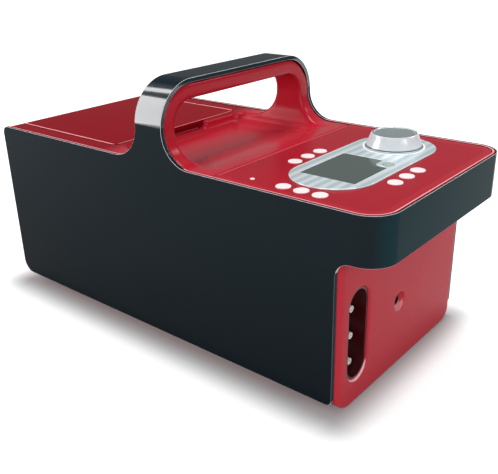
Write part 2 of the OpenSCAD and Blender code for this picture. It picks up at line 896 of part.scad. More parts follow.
module filter_screen() {
    x0 = box_x1 - 9;
    z0 = box_z + box_t;
    color([0.2, 0.22, 0.24]) difference() {
        box(x0, box_x1, pump_y - 16, pump_y + 16, z0, z0 + 22);
        box(x0 + 2, box_x1 + ease, pump_y - 14, pump_y + 14, z0 - ease, z0 + 20);
        for (i = [-4:4]) {
            box(x0 - ease, x0 + 3, pump_y + i * 3 - 0.7, pump_y + i * 3 + 0.7, z0 + 3, z0 + 18);
        }
    }
}

// ---- lid ----

module lid() {
    color([0.55, 0.06, 0.12]) difference() {
        union() {
            upright(seat_z + 0.3, top_z) lid_plan(0);
            translate([hinge_x, 0, hinge_z]) rod_y(-lid_hw, lid_hw, barrel_r);
        }
        across(-hw, hw) corner_waste(lid_x0, top_z, -1, 1, lid_rear_r);
        // shell, open below
        upright(seat_z - ease, top_z - lid_t) {
            round_front(lid_x0 + 2 * barrel_r + 1, lid_x1 - lid_t, lid_hw - lid_t, lid_r - lid_t);
        }
        // below the hinge line only the round barrel is left
        difference() {
            box(lid_x0 - ease, lid_x0 + 2 * barrel_r + 1, -lid_hw - ease, lid_hw + ease, seat_z - ease, hinge_z);
            translate([hinge_x, 0, hinge_z]) {
                for (s = [-1, 1], t = [-1, 1]) {
                    translate([0, s * (knuckle_y + t * knuckle_middle), 0]) {
                        rod_y(-lid_knuckle_l / 2, lid_knuckle_l / 2, barrel_r);
                    }
                }
            }
        }
        fixed_zones(knuckle_gap, seat_z - ease, hinge_z + barrel_r + knuckle_gap);
        translate([hinge_x, 0, hinge_z]) rod_y(-hw, hw, pin_r + run_gap);
        // groove for the fingertips in the front edge
        box(lid_x1 - groove_depth, lid_x1 + ease, -scoop_w / 2 + scoop_r, scoop_w / 2 - scoop_r,
            top_z - scoop_depth, top_z - scoop_depth + groove_h);
    }
}

knuckle_middle = knuckle_l / 2 + knuckle_gap + lid_knuckle_l / 2;

module lid_room(inset, z0, z1) {
    upright(z0, z1) {
        round_front(lid_x0 + 2 * barrel_r + 1 + inset, lid_x1 - lid_t - inset, lid_hw - lid_t - inset,
            max(lid_r - lid_t - inset, 1));
    }
}

module lid_foam() {
    color([0.93, 0.92, 0.88]) lid_room(0.3, liner_z + liner_t, top_z - lid_t);
}

module lid_liner() {
    color([0.8, 0.82, 0.84]) lid_room(0.3, liner_z, liner_z + liner_t);
}

module gasket_plan(grow) {
    round_rect(box_mid - mouth_l / 2 - grow, box_mid + mouth_l / 2 + grow, -mouth_w / 2 - grow, mouth_w / 2 + grow,
        box_r + grow);
}

module lid_gasket() {
    color([0.12, 0.12, 0.13]) upright(liner_z - gasket_h, liner_z) difference() {
        gasket_plan(1 + gasket_w);
        gasket_plan(1);
    }
}

module hinge_pins() {
    reach = knuckle_middle + lid_knuckle_l / 2;
    color([0.75, 0.76, 0.78]) for (s = [-1, 1]) {
        translate([hinge_x, s * knuckle_y, hinge_z]) rod_y(-reach, reach, pin_r);
    }
}

// ---- control deck pieces ----

module overlay() {
    color([0.72, 0.14, 0.2]) difference() {
        upright(top_z - overlay_t, top_z) overlay_plan();
        upright(top_z - overlay_t - ease, top_z + ease) bezel_plan(bezel_rim);
        key_holes(key_gap, top_z - overlay_t - ease, top_z + ease);
        lamp_hole(key_gap, top_z - overlay_t - ease, top_z + ease);
    }
}

module start_hole(r, z0, z1) {
    translate([mid_x + start_x, start_y, z0]) cylinder(h = z1 - z0, r = r);
}

module display_bezel() {
    color([0.75, 0.78, 0.8]) difference() {
        union() {
            upright(top_z, bezel_top) bezel_plan(0);
            upright(plate_z, top_z) bezel_plan(bezel_rim + body_gap);
        }
        upright(window_z, bezel_top + ease) window_plan(0);
        upright(plate_z - ease, bezel_top) window_plan(window_ledge);
        start_hole(start_r + key_gap, plate_z - ease, bezel_top + ease);
        translate([mid_x, knob_y, plate_z - ease]) cylinder(h = bezel_top - plate_z + 2 * ease, r = shaft_r + 0.5);
    }
}

module display_window() {
    color([0.35, 0.38, 0.4]) upright(window_z, window_z + window_t) window_plan(0.1);
}

module display_module() {
    color([0.45, 0.5, 0.45]) upright(mat_z, window_z) window_plan(window_ledge + body_gap);
}

module knob_ring() {
    color([0.85, 0.87, 0.88]) translate([mid_x, knob_y, bezel_top]) difference() {
        cylinder(h = ring_h, r = knob_r + ring_gap + ring_w, $fn = big_fn);
        translate([0, 0, -ease]) cylinder(h = ring_h + 2 * ease, r = knob_r + ring_gap, $fn = big_fn);
    }
}

module lamp_lens() {
    color([0.95, 0.85, 0.85]) lamp_hole(0, mat_z + mat_t, top_z + 0.3);
}

module board_plan() {
    round_rect(mid_x - board_x0, mid_x + board_x1, board_y0, board_y1, 4);
}

module key_mat() {
    color([0.3, 0.3, 0.32]) difference() {
        upright(mat_z, mat_z + mat_t) board_plan();
        upright(mat_z - ease, mat_z + mat_t + ease) window_plan(0);
        for (x = [-post_x, post_x], y = [-post_y, post_y]) {
            translate([mid_x + x, y, mat_z - ease]) cylinder(h = mat_t + 2 * ease, r = post_r + 0.3);
        }
        translate([mid_x, knob_y, mat_z - ease]) cylinder(h = mat_t + 2 * ease, r = bush_r + 0.3);
    }
}

module key_board() {
    color([0.1, 0.35, 0.2]) difference() {
        upright(board_z, mat_z) board_plan();
        for (x = [-post_x, post_x], y = [-post_y, post_y]) {
            translate([mid_x + x, y, board_z - ease]) cylinder(h = board_t + 2 * ease, r = pass_r);
        }
        translate([mid_x, knob_y, board_z - ease]) cylinder(h = board_t + 2 * ease, r = bush_r + 0.1);
    }
}

module encoder() {
    color([0.5, 0.52, 0.54]) translate([mid_x, knob_y, 0]) difference() {
        union() {
            box(-encoder_w / 2, encoder_w / 2, -encoder_w / 2, encoder_w / 2, board_z - encoder_h, board_z);
            translate([0, 0, board_z - ease]) cylinder(h = plate_z - board_z + ease, r = bush_r);
        }
        translate([0, 0, board_z - encoder_h + 1]) cylinder(h = encoder_h + 20, r = shaft_r + run_gap);
    }
}

module knob() {
    color([0.7, 0.72, 0.74]) translate([mid_x, knob_y, knob_z]) difference() {
        cylinder(h = knob_h, r1 = knob_r, r2 = knob_top_r, $fn = big_fn);
        difference() {
            translate([0, 0, -ease]) {
                cylinder(h = knob_h - knob_wall + ease, r = knob_top_r - knob_wall, $fn = big_fn);
            }
            cylinder(h = knob_h, r = hub_r);
        }
        translate([0, 0, -ease]) cylinder(h = knob_h - knob_wall + ease, r = shaft_r + run_gap);
    }
}

module knob_shaft() {
    color([0.8, 0.8, 0.82]) translate([mid_x, knob_y, 0]) {
        bottom = board_z - encoder_h + 1.1;
        translate([0, 0, bottom]) cylinder(h = knob_z + knob_h - knob_wall - 0.1 - bottom, r = shaft_r);
    }
}

module key_at(i) {
    bottom = plate_z - rest_gap - flange_t;
    color([0.95, 0.88, 0.88]) translate([mid_x + key_spots[i][0], key_spots[i][1], 0]) {
        translate([0, 0, bottom]) cylinder(h = top_z + key_rise - bottom, r = key_r);
        translate([0, 0, bottom]) cylinder(h = flange_t, r = key_r + flange_over);
    }
}

module key_1() {
    key_at(0);
}

module key_2() {
    key_at(1);
}

module key_3() {
    key_at(2);
}

module key_4() {
    key_at(3);
}

module key_5() {
    key_at(4);
}

module key_6() {
    key_at(5);
}

module key_7() {
    key_at(6);
}

module key_8() {
    key_at(7);
}

module key_9() {
    key_at(8);
}

module start_key() {
    bottom = plate_z - rest_gap - flange_t;
    color([0.6, 0.62, 0.64]) {
        start_hole(start_r, bottom, bezel_top + key_rise);
        start_hole(start_r + flange_over, bottom, bottom + flange_t);
    }
}

// ---- works ----

module main_board() {
    color([0.1, 0.35, 0.2]) difference() {
        box(main_x0, main_x1, main_y0, main_y1, main_z, main_z + board_t);
        for (x = [main_x0 + 5, main_x1 - 5], y = [main_y0 + 5, main_y1 - 5]) {
            translate([x, y, main_z - ease]) cylinder(h = board_t + 2 * ease, r = pass_r);
        }
    }
}

module board_parts() {
    z0 = main_z + board_t;
    color([0.18, 0.18, 0.2]) {
        box(main_x0 + 14, main_x0 + 44, main_y0 + 12, main_y0 + 40, z0, z0 + 24);
        box(main_x0 + 60, main_x0 + 76, main_y0 + 14, main_y0 + 30, z0, z0 + 2);
        box(main_x0 + 84, main_x0 + 104, main_y0 + 36, main_y0 + 50, z0, z0 + 10);
        for (i = [0:2]) translate([main_x0 + 56 + i * 14, main_y0 + 50, z0]) cylinder(h = 18, r = 5);
    }
}

// A quarter bend of a tube
module quarter(r, start) {
    rotate([0, 0, start]) rotate_extrude(angle = 90) translate([bend_r, 0]) circle(r = r);
}

module water_pump() {
    color([0.25, 0.27, 0.3]) difference() {
        union() {
            translate([0, pump_y, low_z]) {
                rod_x(head_x, head_x + head_l, head_r);
                rod_x(head_x + head_l - ease, head_x + head_l + motor_l, motor_r);
                rod_x(foam_x1 + 12, head_x + ease, spigot_r);
            }
            translate([supply_x, pump_y, low_z]) rod_y(-head_r - 11, 0, spigot_r);
            box(head_x, head_x + head_l + motor_l, pump_y - 14, pump_y + 14, tub_floor, low_z);
        }
        translate([0, pump_y, low_z]) rod_x(foam_x1 + 11, head_x + head_l / 2, spigot_bore);
        translate([supply_x, pump_y, low_z]) rod_y(-head_r - 12, 0, spigot_bore);
    }
}

module suction_tube() {
    color([0.8, 0.85, 0.9]) translate([0, pump_y, low_z]) difference() {
        rod_x(suction_x, head_x - 1, tube_r);
        rod_x(suction_x - ease, head_x, tube_bore);
    }
}

module supply_run(r, over) {
    translate([supply_x, 0, low_z]) rod_y(turn_y - 0.01, pump_y - head_r - 1 + over, r);
    translate([supply_x + bend_r, turn_y, low_z]) quarter(r, 180);
    translate([0, nozzle_y, low_z]) rod_x(supply_x + bend_r - 0.01, tube_end + over, r);
}

module supply_tube() {
    color([0.8, 0.85, 0.9]) difference() {
        supply_run(tube_r, 0);
        supply_run(tube_bore, ease);
    }
}

module return_run(r, over) {
    translate([0, nozzle_y, high_z]) rod_x(return_x - 0.01, tube_end + over, r);
    translate([return_x, turn_y, high_z]) quarter(r, 180);
    translate([return_x - 2 * bend_r, turn_y, high_z]) quarter(r, 0);
    translate([0, return_y, high_z]) rod_x(foam_x1 + 1 - over, return_x - 2 * bend_r + 0.01, r);
}

module return_tube() {
    color([0.8, 0.85, 0.9]) difference() {
        return_run(tube_r, 0);
        return_run(tube_bore, ease);
    }
}

module air_run(r, over) {
    translate([valve_x + valve_l / 2, 0, nozzle_z]) rod_y(turn_y - 0.01, valve_y - 1 + over, r);
    translate([valve_x + valve_l / 2 + bend_r, turn_y, nozzle_z]) quarter(r, 180);
    translate([0, nozzle_y, nozzle_z]) rod_x(valve_x + valve_l / 2 + bend_r - 0.01, tube_end + over, r);
}

module air_tube() {
    color([0.7, 0.75, 0.85]) difference() {
        air_run(tube_r, 0);
        air_run(tube_bore, ease);
    }
}

module air_valve() {
    color([0.3, 0.32, 0.36]) difference() {
        union() {
            box(valve_x, valve_x + valve_l, valve_y, valve_y + valve_w, tub_floor, tub_floor + valve_h);
            translate([valve_x + valve_l / 2, valve_y, nozzle_z]) rod_y(-10, ease, spigot_r);
        }
        translate([valve_x + valve_l / 2, valve_y, nozzle_z]) rod_y(-11, 12, spigot_bore);
    }
}

module air_pump() {
    color([0.22, 0.24, 0.28]) {
        translate([air_x, valve_y + valve_w / 2, tub_floor]) cylinder(h = valve_h - 4, r = air_r);
        translate([air_x, valve_y + valve_w / 2, tub_floor + 34]) rod_x(0, air_r + 10, 4);
    }
}

module each_nozzle() {
    for (z = [low_z, nozzle_z, high_z]) translate([0, nozzle_y, z]) children();
}

module hose_nozzles() {
    color([0.8, 0.81, 0.83]) each_nozzle() difference() {
        union() {
            rod_x(spigot_end, pocket_x - pocket_t + ease, spigot_r);
            rod_x(pocket_x - pocket_t, pocket_x, nozzle_r + 1);
            rod_x(pocket_x - ease, pocket_x + nozzle_l - 6, nozzle_r);
            rod_x(pocket_x + 4, pocket_x + 8, collar_r);
            rod_x(pocket_x + nozzle_l - 7, pocket_x + nozzle_l, nozzle_r - 0.9);
        }
        rod_x(spigot_end - ease, pocket_x + nozzle_l + ease, spigot_bore);
    }
}

module nozzle_seals() {
    color([0.1, 0.1, 0.11]) each_nozzle() difference() {
        rod_x(pocket_x, pocket_x + 1.5, collar_r);
        rod_x(pocket_x - ease, pocket_x + 3, nozzle_r + run_gap);
    }
}

module hose_pocket() {
    color([0.2, 0.05, 0.07]) difference() {
        intersection() {
            pocket_slot(pocket_x - pocket_t, front_x, 0.1);
            front_shape(joint_x, front_x - 1.5, side_in - 1.5, front_r - 1.5, floor_z, joint_z, belly_r);
        }
        pocket_slot(pocket_x, front_x + ease, pocket_wall);
        each_nozzle() rod_x(pocket_x - pocket_t - ease, pocket_x + ease, nozzle_r + 1 + run_gap);
    }
}

module power_socket() {
    color([0.12, 0.12, 0.13]) translate([0, -jack_y, jack_z]) difference() {
        union() {
            rod_x(front_x - 18, front_x - 3, jack_r);
            rod_x(front_x - 18, front_x - wall - 4, jack_r + 2);
        }
        rod_x(front_x - 15, front_x, jack_r - 1.3);
    }
}

module socket_pin() {
    color([0.85, 0.8, 0.6]) translate([0, -jack_y, jack_z]) rod_x(front_x - 15, front_x - 5, 1);
}

module feet() {
    color([0.08, 0.08, 0.09]) for (x = [-foot_x, foot_x - 40], s = [-1, 1]) {
        translate([x, s * foot_y, 0]) cylinder(h = floor_z + foot_in, r = foot_r - 0.1);
    }
}

module screw(top, seat) {
    cylinder(h = top - seat, r = screw_r);
    translate([0, 0, -head_h]) cylinder(h = head_h, r = screw_head_r);
}

module housing_screws() {
    color([0.7, 0.71, 0.73]) for (x = columns, s = [-1, 1]) {
        translate([x, s * column_y0, joint_z - web_t]) screw(screw_top, joint_z - web_t);
    }
}

module board_screws() {
    color([0.7, 0.71, 0.73]) {
        for (x = [-post_x, post_x], y = [-post_y, post_y]) {
            translate([mid_x + x, y, board_z]) screw(plate_z - 0.2, board_z);
        }
    }
}

module shelf_screws() {
    color([0.7, 0.71, 0.73]) for (s = [-1, 1]) {
        translate([shelf_x, s * shelf_y, shelf_seat]) screw(shelf_top + 11, shelf_seat);
    }
}

outer_skin();
top_cover();
control_deck();
tub();
front_cover();
ice_box();
foam_jacket();
filter_screen();
overlay();
display_bezel();
display_window();
display_module();
knob_ring();
lamp_lens();
key_mat();
key_board();
encoder();
main_board();
board_parts();
water_pump();
air_pump();
air_valve();
suction_tube();
supply_tube();
return_tube();
air_tube();
hose_pocket();
hose_nozzles();
nozzle_seals();
power_socket();
socket_pin();
feet();
housing_screws();
board_screws();
shelf_screws();
hinge_pins();
lid();
lid_foam();
lid_liner();
lid_gasket();
knob();
knob_shaft();
key_1();
key_2();
key_3();
key_4();
key_5();
key_6();
key_7();
key_8();
key_9();
start_key();
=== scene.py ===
from math import pi, radians

import bpy
from mathutils import Matrix, Vector


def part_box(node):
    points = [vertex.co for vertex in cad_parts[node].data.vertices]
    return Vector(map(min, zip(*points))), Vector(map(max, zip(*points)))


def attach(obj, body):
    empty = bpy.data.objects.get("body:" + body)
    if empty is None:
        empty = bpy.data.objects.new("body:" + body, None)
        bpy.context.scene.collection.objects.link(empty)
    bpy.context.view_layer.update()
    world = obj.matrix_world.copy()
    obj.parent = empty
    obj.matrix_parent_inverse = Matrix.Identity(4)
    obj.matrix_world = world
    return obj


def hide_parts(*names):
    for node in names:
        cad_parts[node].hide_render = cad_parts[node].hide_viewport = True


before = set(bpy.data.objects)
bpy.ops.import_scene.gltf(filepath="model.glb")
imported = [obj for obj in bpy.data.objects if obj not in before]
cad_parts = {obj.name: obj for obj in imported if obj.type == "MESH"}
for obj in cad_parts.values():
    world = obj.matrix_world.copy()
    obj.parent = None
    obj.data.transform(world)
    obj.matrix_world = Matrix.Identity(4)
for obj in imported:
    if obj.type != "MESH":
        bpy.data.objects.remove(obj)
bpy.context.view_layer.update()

# ---- Black outer skin ----
# One moulding of black ABS makes both side panels, the front band and the arch of the handle.
# Its outside has a fine spark-eroded grain, and every edge is broken to about a millimetre.
SKIN_EDGE = 0.0012
SKIN_BLACK = (0.0012, 0.0055, 0.0090, 1)
UPPER_REFLECTION_BLACK = (0.0068, 0.0135, 0.0180, 1)
BAND_REFLECTION_TEAL = (0.0110, 0.0330, 0.0400, 1)
EDGE_HIGHLIGHT_GREY = (0.66, 0.60, 0.62, 1)
LAND_RED = (0.13, 0.008, 0.014, 1)
HIGHLIGHT_PINK = (0.80, 0.30, 0.32, 1)
SKIN_IOR, ARCH_IOR = 1.07, 1.90
SIDE_COAT = 0.05
PANEL_TOP = 0.1645
BAND_CORNER = 0.022
skin_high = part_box("outer_skin")[1]


def alone(piece):
    """Only this piece is selected and active, so that an operator acts on nothing else."""
    if bpy.context.object and bpy.context.object.mode != "OBJECT":
        bpy.ops.object.mode_set(mode="OBJECT")
    bpy.ops.object.select_all(action="DESELECT")
    piece.select_set(True)
    bpy.context.view_layer.objects.active = piece


def press(piece, kind, **settings):
    """Adds a modifier with these settings and applies it."""
    alone(piece)
    modifier = piece.modifiers.new(kind.title(), kind)
    for key, value in settings.items():
        setattr(modifier, key, value)
    bpy.ops.object.modifier_apply(modifier=modifier.name)


def tooling_copy(node, name):
    """A merged copy of a CAD node's mesh, with its flat faces made whole again."""
    piece = bpy.data.objects.new(name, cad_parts[node].data.copy())
    bpy.context.scene.collection.objects.link(piece)
    alone(piece)
    bpy.ops.object.mode_set(mode="EDIT")
    bpy.ops.mesh.select_all(action="SELECT")
    bpy.ops.mesh.remove_doubles(threshold=2e-6)
    bpy.ops.mesh.dissolve_limited(angle_limit=radians(0.4))
    bpy.ops.object.mode_set(mode="OBJECT")
    return piece


def fit(piece, node, body, finish):
    """The piece stands in for its node, moves with its body and takes its finish."""
    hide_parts(node)
    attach(piece, body)
    piece.data.materials.clear()
    piece.data.materials.append(finish)


def soft_edges(node, name, body, finish, radius, segments=3, corner=30):
    """A CAD node as it comes from its mould: the same shape with its edges broken."""
    piece = tooling_copy(node, name)
    press(piece, "BEVEL", width=radius, segments=segments, limit_method="ANGLE",
          angle_limit=radians(corner), use_clamp_overlap=True, miter_outer="MITER_ARC")
    alone(piece)
    bpy.ops.object.shade_smooth_by_angle(angle=radians(32))
    press(piece, "WEIGHTED_NORMAL", keep_sharp=True, weight=50)
    fit(piece, node, body, finish)
    return piece


def wear_on(node, finish):
    """Gives a CAD node that keeps its own mesh its finish."""
    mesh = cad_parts[node].data
    mesh.materials.clear()
    mesh.materials.append(finish)


def grain_group():
    """Tool grain: small pits of the eroded steel, slow clouds of gloss, and a little colour drift."""
    group = bpy.data.node_groups.new("tool_grain", "ShaderNodeTree")
    face = group.interface
    for label, kind, value in (("Colour", "NodeSocketColor", (0.5, 0.5, 0.5, 1)),
                               ("Gloss", "NodeSocketFloat", 0.4),
                               ("Gloss Drift", "NodeSocketFloat", 0.08),
                               ("Pit Scale", "NodeSocketFloat", 1500.0),
                               ("Tint Drift", "NodeSocketFloat", 0.08)):
        face.new_socket(label, in_out="INPUT", socket_type=kind).default_value = value
    for label, kind in (("Colour", "NodeSocketColor"), ("Roughness", "NodeSocketFloat"),
                        ("Height", "NodeSocketFloat")):
        face.new_socket(label, in_out="OUTPUT", socket_type=kind)
    node, link = group.nodes.new, group.links.new
    given, out = node("NodeGroupInput"), node("NodeGroupOutput")
    place = node("ShaderNodeTexCoord")
    pits, clouds = node("ShaderNodeTexNoise"), node("ShaderNodeTexNoise")
    pits.inputs["Detail"].default_value = 2.5
    clouds.inputs["Scale"].default_value = 14.0
    clouds.inputs["Detail"].default_value = 4.0
    link(place.outputs["Object"], pits.inputs["Vector"])
    link(place.outputs["Object"], clouds.inputs["Vector"])
    link(given.outputs["Pit Scale"], pits.inputs["Scale"])

    def maths(operation, a, b, c=None):
        step = node("ShaderNodeMath")
        step.operation = operation
        for socket, value in zip(step.inputs, (a, b, c)):
            if isinstance(value, (int, float)):
                socket.default_value = value
            elif value is not None:
                link(value, socket)
        return step.outputs[0]

    cloud = maths("SUBTRACT", clouds.outputs["Fac"], 0.5)
    pit = maths("SUBTRACT", pits.outputs["Fac"], 0.5)
    gloss = maths("MULTIPLY_ADD", cloud, given.outputs["Gloss Drift"], given.outputs["Gloss"])
    gloss = maths("MULTIPLY_ADD", pit, given.outputs["Gloss Drift"], gloss)
    tint = maths("MULTIPLY", cloud, given.outputs["Tint Drift"])
    tint = maths("MULTIPLY_ADD", pit, given.outputs["Tint Drift"], tint)
    shade = node("ShaderNodeHueSaturation")
    link(maths("ADD", tint, 1.0), shade.inputs["Value"])
    link(given.outputs["Colour"], shade.inputs["Color"])
    link(shade.outputs["Color"], out.inputs["Colour"])
    link(gloss, out.inputs["Roughness"])
    link(pits.outputs["Fac"], out.inputs["Height"])
    return group


tool_grain = grain_group()


def moulding(name, colour, gloss, ior=1.45, drift=0.1, pits=1500.0, depth=0.00002, tint=0.08,
             metal=0.0, clear=0.0):
    """A finish for a moulded or machined piece, with the tool's grain in it."""
    finish = bpy.data.materials.new(name)
    finish.use_nodes = True
    tree = finish.node_tree
    skin = tree.nodes["Principled BSDF"]
    grain = tree.nodes.new("ShaderNodeGroup")
    grain.node_tree = tool_grain
    for label, value in (("Colour", colour), ("Gloss", gloss), ("Gloss Drift", drift),
                         ("Pit Scale", pits), ("Tint Drift", tint)):
        grain.inputs[label].default_value = value
    bump = tree.nodes.new("ShaderNodeBump")
    bump.inputs["Strength"].default_value = 1.0
    bump.inputs["Distance"].default_value = depth
    tree.links.new(grain.outputs["Height"], bump.inputs["Height"])
    tree.links.new(grain.outputs["Colour"], skin.inputs["Base Color"])
    tree.links.new(grain.outputs["Roughness"], skin.inputs["Roughness"])
    tree.links.new(bump.outputs["Normal"], skin.inputs["Normal"])
    skin.inputs["IOR"].default_value = ior
    skin.inputs["Metallic"].default_value = metal
    skin.inputs["Transmission Weight"].default_value = clear
    return finish


def mask_group(name, build):
    """A node group that gives one mask from the place and the way a point faces."""
    group = bpy.data.node_groups.new(name, "ShaderNodeTree")
    group.interface.new_socket("Mask", in_out="OUTPUT", socket_type="NodeSocketFloat")
    node, link = group.nodes.new, group.links.new
    place, facing = node("ShaderNodeTexCoord"), node("ShaderNodeNewGeometry")
    split_place, split_facing = node("ShaderNodeSeparateXYZ"), node("ShaderNodeSeparateXYZ")
    link(place.outputs["Object"], split_place.inputs[0])
    link(facing.outputs["Normal"], split_facing.inputs[0])

    def step(value, low, high, absolute=False):
        if absolute:
            size = node("ShaderNodeMath")
            size.operation = "ABSOLUTE"
            link(value, size.inputs[0])
            value = size.outputs[0]
        ramp = node("ShaderNodeMapRange")
        ramp.interpolation_type = "SMOOTHSTEP"
        ramp.inputs["From Min"].default_value = low
        ramp.inputs["From Max"].default_value = high
        link(value, ramp.inputs["Value"])
        return ramp.outputs["Result"]

    def blend(operation, first, second):
        maths = node("ShaderNodeMath")
        maths.operation = operation
        for socket, value in zip(maths.inputs, (first, second)):
            if isinstance(value, (int, float)):
                socket.default_value = value
            else:
                link(value, socket)
        return maths.outputs[0]

    mask = build(split_place.outputs, split_facing.outputs, step, blend)
    link(mask, node("NodeGroupOutput").inputs["Mask"])
    return group


def between(value, step, blend):
    """1 where a part of the normal is neither nought nor one, which is only on a broken edge."""
    leaning, square = step(value, 0.15, 0.35, True), step(value, 0.93, 0.985, True)
    return blend("MULTIPLY", leaning, blend("SUBTRACT", 1, square))


def edge_highlights(place, facing, step, blend):
    """Painted highlight on the skin's broken edges: along the side faces, round the band, and along the
    arch.
    """
    band, arch = step(place[0], 0.171, 0.173), step(place[2], 0.189, 0.192)
    plain = blend("SUBTRACT", 1, blend("MAXIMUM", band, arch))
    side = blend("MULTIPLY", between(facing[1], step, blend), plain)
    rim = blend("MULTIPLY", between(facing[2], step, blend), band)
    return blend("ADD", blend("ADD", side, rim), blend("MULTIPLY", between(facing[0], step, blend), arch))


def wall_depth(place, blend):
    """How far a point lies inside the skin's outline, seen from above."""
    ahead = blend("MAXIMUM", blend("SUBTRACT", place[0], skin_high.x - BAND_CORNER), 0)
    across = blend("ABSOLUTE", place[1], 0)
    aside = blend("MAXIMUM", blend("SUBTRACT", across, skin_high.y - BAND_CORNER), 0)
    reach = blend("ADD", blend("MULTIPLY", ahead, ahead), blend("MULTIPLY", aside, aside))
    return blend("SUBTRACT", BAND_CORNER, blend("POWER", reach, 0.5))


def on_top(place, facing, step, blend):
    """The faces that look up at the height of the panels' top edge."""
    reached = step(place[2], PANEL_TOP - 0.0013, PANEL_TOP - 0.0008)
    passed = step(place[2], PANEL_TOP + 0.0005, PANEL_TOP + 0.0010)
    level = blend("MULTIPLY", reached, blend("SUBTRACT", 1, passed))
    return blend("MULTIPLY", level, step(facing[2], 0.70, 0.90))


def top_land(place, facing, step, blend):
    """The flat top of the skin's wall, painted red as in the photograph, with no flange below."""
    inward = step(wall_depth(place, blend), 0.0009, 0.0011)
    return blend("MULTIPLY", on_top(place, facing, step, blend), inward)


def inner_highlight(place, facing, step, blend):
    """A painted highlight: a pink line along the inside of that wall, on the red rim's edge."""
    inward = step(wall_depth(place, blend), 0.0021, 0.0023)
    return blend("MULTIPLY", on_top(place, facing, step, blend), inward)


def faces_front(place, facing, step, blend):
    return step(facing[0], 0.55, 0.95)


# Painted reflection: the skin's black is lighter towards the top and darker towards the bottom.
def upper(place, facing, step, blend):
    return step(place[2], 0.02, 0.16)


def polish(place, facing, step, blend):
    """The clear coat: full on the curve of the handle, thin on the sides, none on the front band."""
    rising, falling = step(place[2], 0.1932, 0.1946), step(place[2], 0.2212, 0.2236)
    arch = blend("MULTIPLY", rising, blend("SUBTRACT", 1, falling))
    band = blend("MULTIPLY", faces_front(place, facing, step, blend), SIDE_COAT)
    thin = blend("SUBTRACT", SIDE_COAT, band)
    return blend("ADD", blend("MULTIPLY", arch, 1 - SIDE_COAT), thin)


def leaning_edge(place, facing, step, blend):
    """A moulding's broken edges, where the normal is neither level nor upright."""
    return between(facing[2], step, blend)


def tinted(finish, mask, colour):
    """Mixes a second colour into a finish where the mask says."""
    tree = finish.node_tree
    where, mix = tree.nodes.new("ShaderNodeGroup"), tree.nodes.new("ShaderNodeMix")
    where.node_tree = mask
    mix.data_type = "RGBA"
    base = tree.nodes["Principled BSDF"].inputs["Base Color"]
    before = base.links[0].from_socket
    tree.links.new(where.outputs["Mask"], mix.inputs["Factor"])
    sockets = [socket for socket in mix.inputs if socket.type == "RGBA"]
    tree.links.new(before, sockets[0])
    sockets[1].default_value = colour
    tree.links.new(next(o for o in mix.outputs if o.type == "RGBA"), base)


def polished(finish, mask, ior, gloss):
    """A clear coat lies over a finish where the mask says."""
    tree = finish.node_tree
    skin, where = tree.nodes["Principled BSDF"], tree.nodes.new("ShaderNodeGroup")
    where.node_tree = mask
    skin.inputs["Coat IOR"].default_value = ior
    skin.inputs["Coat Roughness"].default_value = gloss
    tree.links.new(where.outputs["Mask"], skin.inputs["Coat Weight"])


black_abs = moulding("black_abs", SKIN_BLACK, 0.12, ior=SKIN_IOR, drift=0.05, pits=1700.0,
                     depth=0.000008)
# Painted reflection: a lighter black on the higher part of the skin.
tinted(black_abs, mask_group("upper", upper), UPPER_REFLECTION_BLACK)
# Painted reflection: a lighter teal black on faces that look forward, the front band chiefly.
tinted(black_abs, mask_group("faces_front", faces_front), BAND_REFLECTION_TEAL)
# Painted highlight: pale grey on the skin's broken edges.
tinted(black_abs, mask_group("edge_highlights", edge_highlights), EDGE_HIGHLIGHT_GREY)
tinted(black_abs, mask_group("top_land", top_land), LAND_RED)
# Painted highlight: a pink line along the inside of the skin's wall.
tinted(black_abs, mask_group("inner_highlight", inner_highlight), HIGHLIGHT_PINK)
edge_highlight_mask = mask_group("leaning_edge", leaning_edge)
polished(black_abs, mask_group("polish", polish), ARCH_IOR, 0.12)
soft_edges("outer_skin", "skin_shell", "housing", black_abs, SKIN_EDGE)

# ---- Red top cover with the lining of the handle ----
# One moulding of red ABS. The lining runs up the legs and along the underside of the grip, where
# its edges are rolled over like a bull nose, and it flows down into the valley without a corner.
RED_ABS = (0.40, 0.009, 0.022, 1)
RIM_PAINTED_SHADE = (0.20, 0.004, 0.009, 1)
MELT = 0.0010

red_abs = moulding("red_abs", RED_ABS, 0.22, ior=1.07, pits=1300.0, depth=0.000014, tint=0.06)


def shaded_rear_rim(place, facing, step, blend):
    """The top of the rim round the lid, painted a darker red as shade."""
    behind = blend("SUBTRACT", 1, step(place[0], -0.070, -0.040))
    return blend("MULTIPLY", behind, step(facing[2], 0.5, 0.9))


def glossy_red(place, facing, step, blend):
    """All of the red cover but that rim."""
    return blend("SUBTRACT", 1, shaded_rear_rim(place, facing, step, blend))


# Painted shade: a darker red on the top of the rim round the lid.
tinted(red_abs, mask_group("shaded_rear_rim", shaded_rear_rim), RIM_PAINTED_SHADE)
polished(red_abs, mask_group("glossy_red", glossy_red), 1.25, 0.22)


def melted(node, name, body, finish, voxel, passes, near):
    """A copy of a CAD node with its corners run soft; near(co) from 0 to 1 says how much."""
    piece = tooling_copy(node, name)
    press(piece, "REMESH", mode="VOXEL", voxel_size=voxel)
    soft = piece.vertex_groups.new(name="soft")
    for vertex in piece.data.vertices:
        weight = near(vertex.co)
        if weight > 0:
            soft.add([vertex.index], weight, "REPLACE")
    press(piece, "SMOOTH", factor=0.5, iterations=2)
    press(piece, "SMOOTH", factor=0.6, iterations=passes, vertex_group="soft")
    piece.vertex_groups.clear()
    press(piece, "DECIMATE", decimate_type="COLLAPSE", ratio=0.3)
    alone(piece)
    bpy.ops.object.shade_smooth_by_angle(angle=radians(50))
    press(piece, "WEIGHTED_NORMAL", keep_sharp=True, weight=50)
    fit(piece, node, body, finish)
    return piece


